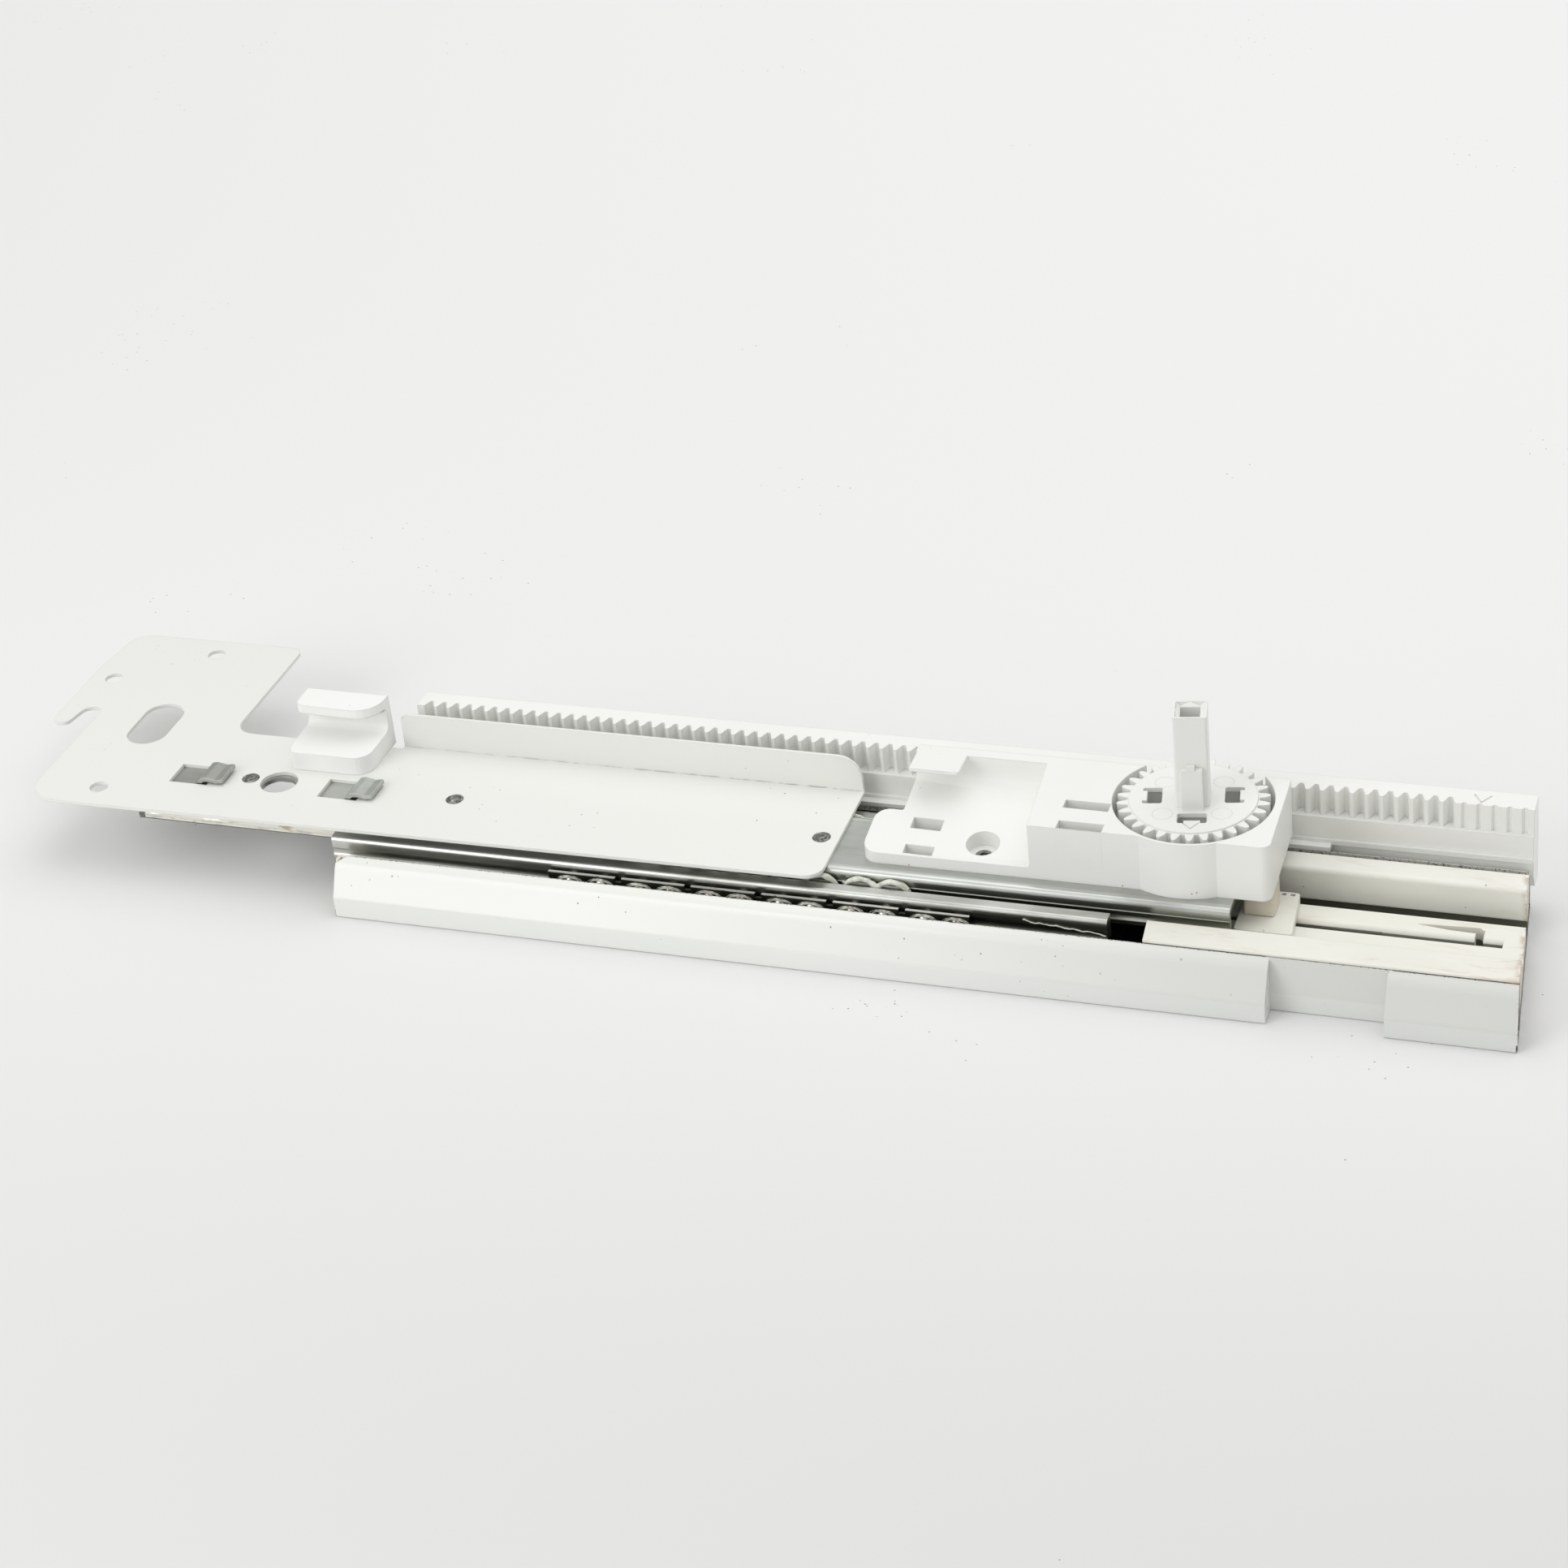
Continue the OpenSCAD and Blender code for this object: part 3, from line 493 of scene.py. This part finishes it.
# The pale green grease in the outer pockets is partly a painted reflection of the channel's lip
pockets("outer_pocket_grease", "outer_cages", race_grease, balls=12, last=0.0187, side=0.0267,
        middle=0.0159, arch=(0.0038, 0.0019), thick=0.0004, lumps=260.0, depth=0.0012)
pockets("inner_pocket_grease", "inner_cages", race_grease, balls=8, last=-0.0046, side=0.0176,
        middle=0.0188, arch=(0.0053, 0.0041), thick=0.0009, lumps=330.0, depth=0.0015)

# A bead of clean grease that the slide has pushed along the intermediate
# rail's front flange to its rear end: a thin, uneven thread
bead = Rule("rail_grease_bead")
start = bead.size("Start", 0.040)
finish = bead.size("End", 0.0666)
flange = -0.0242
line = bead.add("GeometryNodeMeshLine", {"mode": "END_POINTS"}, {
    "Count": 90, "Start Location": bead.point(start, flange, 0.0184),
    "Offset": bead.point(finish, flange, 0.0163)})
here = bead.add("GeometryNodeInputPosition", {}, {})
x = bead.add("ShaderNodeSeparateXYZ", {}, {0: here})
wave = bead.add("ShaderNodeTexNoise", {"noise_dimensions": "1D"}, {
    "W": x, "Scale": 190.0, "Detail": 2.0})
line = bead.add("GeometryNodeSetPosition", {}, {
    "Geometry": line, "Offset": bead.point(0.0, 0.0, (wave - 0.5) * 0.0022)})
line = bead.add("GeometryNodeMeshToCurve", {}, {0: line})
wire = bead.add("GeometryNodeCurvePrimitiveCircle", {}, {
    "Resolution": 8, "Radius": bead.size("Thickness", 0.00024)})
line = bead.add("GeometryNodeCurveToMesh", {}, {
    "Curve": line, "Profile Curve": wire, "Fill Caps": True})
bead.made("rail_grease_bead", bead.lumpy(line, 600.0, 0.0005), race_grease, "intermediate")


# --------------------------------------------------------- drawer bracket ----
# Pressed plate that is riveted to the drawer rail and screwed to the drawer.
# It has the same gloss white as the channel, and its rivets are bare steel.
plate, shade, cloud, dust, peel, (x, y, z) = sprayed("bracket_paint", 0.6)

# Grime in the corner at the foot of the rear flange
corner_y = 0.0281
hem = plate.ramp(abs(y - corner_y), 0.0, 0.0004, 1.0, 0.0) * (z < 0.0262)
hem = hem * plate.ramp(plate.noise((160.0, 400.0, 400.0), 3.0, 0.7), 0.42, 0.6) * (x > -0.192)
shade = plate.mix(hem * 0.7, shade, (0.4, 0.39, 0.35))
# Painted shade: the plate darkens towards its left end, to tone down the left lamp
shade = plate.mix(plate.ramp(x, 0.0, -0.27) * 0.75, shade, (0.78, 0.785, 0.75))
dress("drawer_bracket", plate.surface(
    Base_Color=shade, Roughness=0.24 + cloud * 0.12 + dust * 0.3, IOR=1.5,
    Normal=plate.relief(peel, 0.00002, 0.0004)))

head = Finish("rivet_steel")
rub = head.noise((700.0, 700.0, 700.0), 3.0, 0.6)
shade = head.mix(head.ramp(rub, 0.4, 0.62), (0.12, 0.12, 0.11), (0.34, 0.34, 0.32))
rivet_steel = head.surface(
    Base_Color=shade, Metallic=0.9, Roughness=0.3 + rub * 0.2, Normal=head.relief(rub, 0.00006))
dress("housing_rivet", rivet_steel)

# Three low heads, each a flattened dome with a riveting ring pressed in
rivets = Rule("bracket_rivets_headed")
reach = rivets.size("Head radius", 0.0029)
dome = rivets.size("Head height", 0.0008)
spots = rivets.add("GeometryNodeMeshLine", {}, {"Count": 3})
index = rivets.add("GeometryNodeInputIndex", {}, {})
first, second, third = -0.2391, -0.1631, -0.0335
x = first + (index > 0.5) * (second - first) + (index > 1.5) * (third - second)
underside = rivets.size("Underside of the plate", 0.0247)
spots = rivets.add("GeometryNodeSetPosition", {}, {
    "Geometry": spots, "Position": rivets.point(x, -0.0006, underside)})
ball = rivets.add("GeometryNodeMeshUVSphere", {}, {"Segments": 40, "Rings": 40, "Radius": 1.0})
here = rivets.add("GeometryNodeInputPosition", {}, {})
px, py, pz = rivets.split(here)
out = rivets.add("ShaderNodeVectorMath", {"operation": "LENGTH"}, {
    0: rivets.point(px, py, 0.0)}, 1)
ring, ring_width, neck = 0.66, 0.16, 0.0010
dent = rivets.ramp(abs(out - ring), 0.0, ring_width, 1.0, 0.0) * 0.5
dent = dent + rivets.ramp(out, 0.5, 0.0) * 0.2
crown = (pz > 0.0) * (pz - dent) * dome + (pz > 0.0) * neck
ball = rivets.add("GeometryNodeSetPosition", {}, {
    "Geometry": ball, "Position": rivets.point(px * reach, py * reach, crown)})
heads = rivets.add("GeometryNodeInstanceOnPoints", {}, {"Points": spots, "Instance": ball})
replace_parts(rivets.made("rivet_heads", heads, rivet_steel, "drawer"), "bracket_rivets")


# ------------------------------------------------- white acetal mouldings ----
# Rack, pinion, gear housing and guide shoe: injection moulded and satin, with
# fine dust, rust specks in the housing and ejector marks on the pinion.
def acetal(name, tint, ejectors=(), rusty=False, edge=0.0005):
    """Satin white; ejectors are rings given as (centre, radius, level)."""
    resin = Finish(name)
    x, y, z = resin.place()
    cloud = resin.noise((14.0, 14.0, 14.0), 3.0)
    grain = resin.noise((900.0, 900.0, 900.0), 2.0)
    paler = tuple(min(0.9, channel * 1.035) for channel in tint)
    shade = resin.mix(resin.ramp(cloud, 0.35, 0.7), tint, paler)
    dust = resin.specks(0.006, 0.00022) * (resin.noise((60.0, 60.0, 60.0)) > 0.58)
    shade = resin.mix(dust * 0.6, shade, (0.2, 0.19, 0.17))
    if rusty:
        # Specks of rust on the housing's low parts, clear of its front rim
        rust = resin.specks(0.0022, 0.0003, 5.2) * (resin.noise((90.0, 90.0, 90.0)) > 0.52)
        rust = rust * (z < 0.0275) * (y > -0.013)
        shade = resin.mix(rust * 0.8, shade, (0.45, 0.2, 0.1))
    height = grain * 0.2
    for centre, radius, level in ejectors:
        away = resin.add("ShaderNodeVectorMath", {"operation": "DISTANCE"}, {
            0: resin.point(x, y, 0.0), 1: (centre[0], centre[1], 0.0)}, 1)
        ring = resin.ramp(abs(away - radius), 0.0, 0.0002, 1.0, 0.0) * (abs(z - level) < 0.0006)
        height = height - ring * 3.0
        shade = resin.mix(ring * 0.12, shade, (0.5, 0.5, 0.48))
    return resin.surface(
        Base_Color=shade, Roughness=0.36 + cloud * 0.1, IOR=1.48,
        Normal=resin.relief(height, 0.00003, edge))


# The pinion's ejector marks lie on its web, between the four windows
axle = (0.08639, 0.01422)
pin_circle, pin_radius, web_top, post_turn = 0.013, 0.0032, 0.045, 10.8
pins = []
for bearing in (45, 135, 225, 315):
    angle = math.radians(bearing + post_turn)
    pins.append(((axle[0] + pin_circle * math.cos(angle), axle[1] + pin_circle * math.sin(angle)),
                 pin_radius, web_top))
dress("rack", acetal("rack_acetal", (0.86, 0.865, 0.835), edge=0.0004))
dress("guide_clip", acetal("shoe_acetal", (0.88, 0.885, 0.86), edge=0.0008))
dress("gear_housing", acetal("housing_acetal", (0.85, 0.855, 0.825), rusty=True))
dress("pinion", acetal("pinion_acetal", (0.845, 0.85, 0.82), pins, edge=0.0004))


# ------------------------------------------------------------- latch unit ----
# Spring and damper housings, track, slider and catch in cream resin. Steel
# dust and old grease have stained them brown; their feet are painted black as shade.
def cream(name, tint, stain, groove_shade=0.0):
    """Cream resin; stain is how brown it is, and the last value how dark the painted shade in its
    groove is.
    """
    resin = Finish(name)
    x, y, z = resin.place()
    cloud = resin.noise((30.0, 60.0, 60.0), 4.0, 0.6)
    darker = tuple(channel * 0.96 for channel in tint)
    shade = resin.mix(resin.ramp(cloud, 0.35, 0.7), tint, darker)
    brown = resin.noise((38.0, 170.0, 170.0), 4.0, 0.65)
    shade = resin.mix(resin.ramp(brown, 0.53, 0.75) * stain, shade, (0.62, 0.42, 0.26))
    # Scorched rim along the sheared end
    singed = resin.ramp(x + y * rear_slant, 0.1895, 0.1915)
    singed = singed * resin.ramp(resin.noise((300.0, 300.0, 300.0), 3.0), 0.35, 0.6)
    shade = resin.mix(singed * 0.6, shade, (0.45, 0.3, 0.18))
    dust = resin.specks(0.005, 0.00024) * (resin.noise((70.0, 70.0, 70.0)) > 0.52)
    shade = resin.mix(dust * 0.8, shade, (0.14, 0.11, 0.09))
    # Painted shade: everything lower than the damper housing's underside is painted near black,
    # for the deep shade down there
    shade = resin.mix(resin.ramp(z, 0.0082, 0.0074) * 0.88, shade, (0.07, 0.07, 0.045))
    if groove_shade:
        # Painted shade on the floor of the track's slot
        trough = (abs(y + 0.0007) < 0.0019) * resin.ramp(z, 0.0119, 0.0106)
        shade = resin.mix(trough * groove_shade, shade, (0.13, 0.14, 0.1))
    return resin.surface(
        Base_Color=shade, Roughness=0.36 + cloud * 0.15, IOR=1.48,
        Normal=resin.relief(cloud, 0.00006, 0.0004))


dress("damper_housing", cream("damper_resin", (0.885, 0.88, 0.81), 0.35))
dress("spring_housing", cream("spring_resin", (0.85, 0.84, 0.77), 0.6))
dress("latch_track", cream("track_resin", (0.865, 0.86, 0.785), 0.25, groove_shade=0.85))
dress("latch_slider", cream("slider_resin", (0.87, 0.865, 0.79), 0.12))
# The catch is a darker tan, partly painted shade from the gear housing above it
dress("latch_catch", cream("catch_resin", (0.7, 0.65, 0.54), 0.35))
